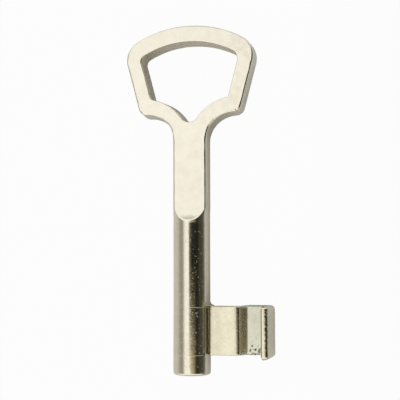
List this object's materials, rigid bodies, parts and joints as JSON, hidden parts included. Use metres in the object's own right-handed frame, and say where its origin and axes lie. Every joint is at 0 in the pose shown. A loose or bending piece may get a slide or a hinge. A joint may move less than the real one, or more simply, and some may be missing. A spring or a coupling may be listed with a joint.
{
  "type": "warded key",
  "caption": "Nickel-plated warded door key with an open trapezoid bow, a flatted shank, a round stem and a stepped bit.",
  "frame": {"origin": "on the stem's axis, level with the bit's lower edge, where the nose begins", "axes": "+Y along the stem towards the bow, +X towards the bit's outer end, +Z out of the bow's broad face; the key lies flat"},
  "size_m": [0.0312, 0.0739, 0.008],
  "materials": {
    "cast_nickel": "bright nickel plate on a cast face, faintly uneven",
    "turned_nickel": "bright nickel plate on a turned surface, warm where worn",
    "bit_nickel": "bright nickel plate on a cast bit, slightly greener in the groove"
  },
  "bodies": {
    "root": {"bow": "cast_nickel", "stem": "turned_nickel", "bit": "bit_nickel", "nose": "turned_nickel"}
  },
  "joints": []
}
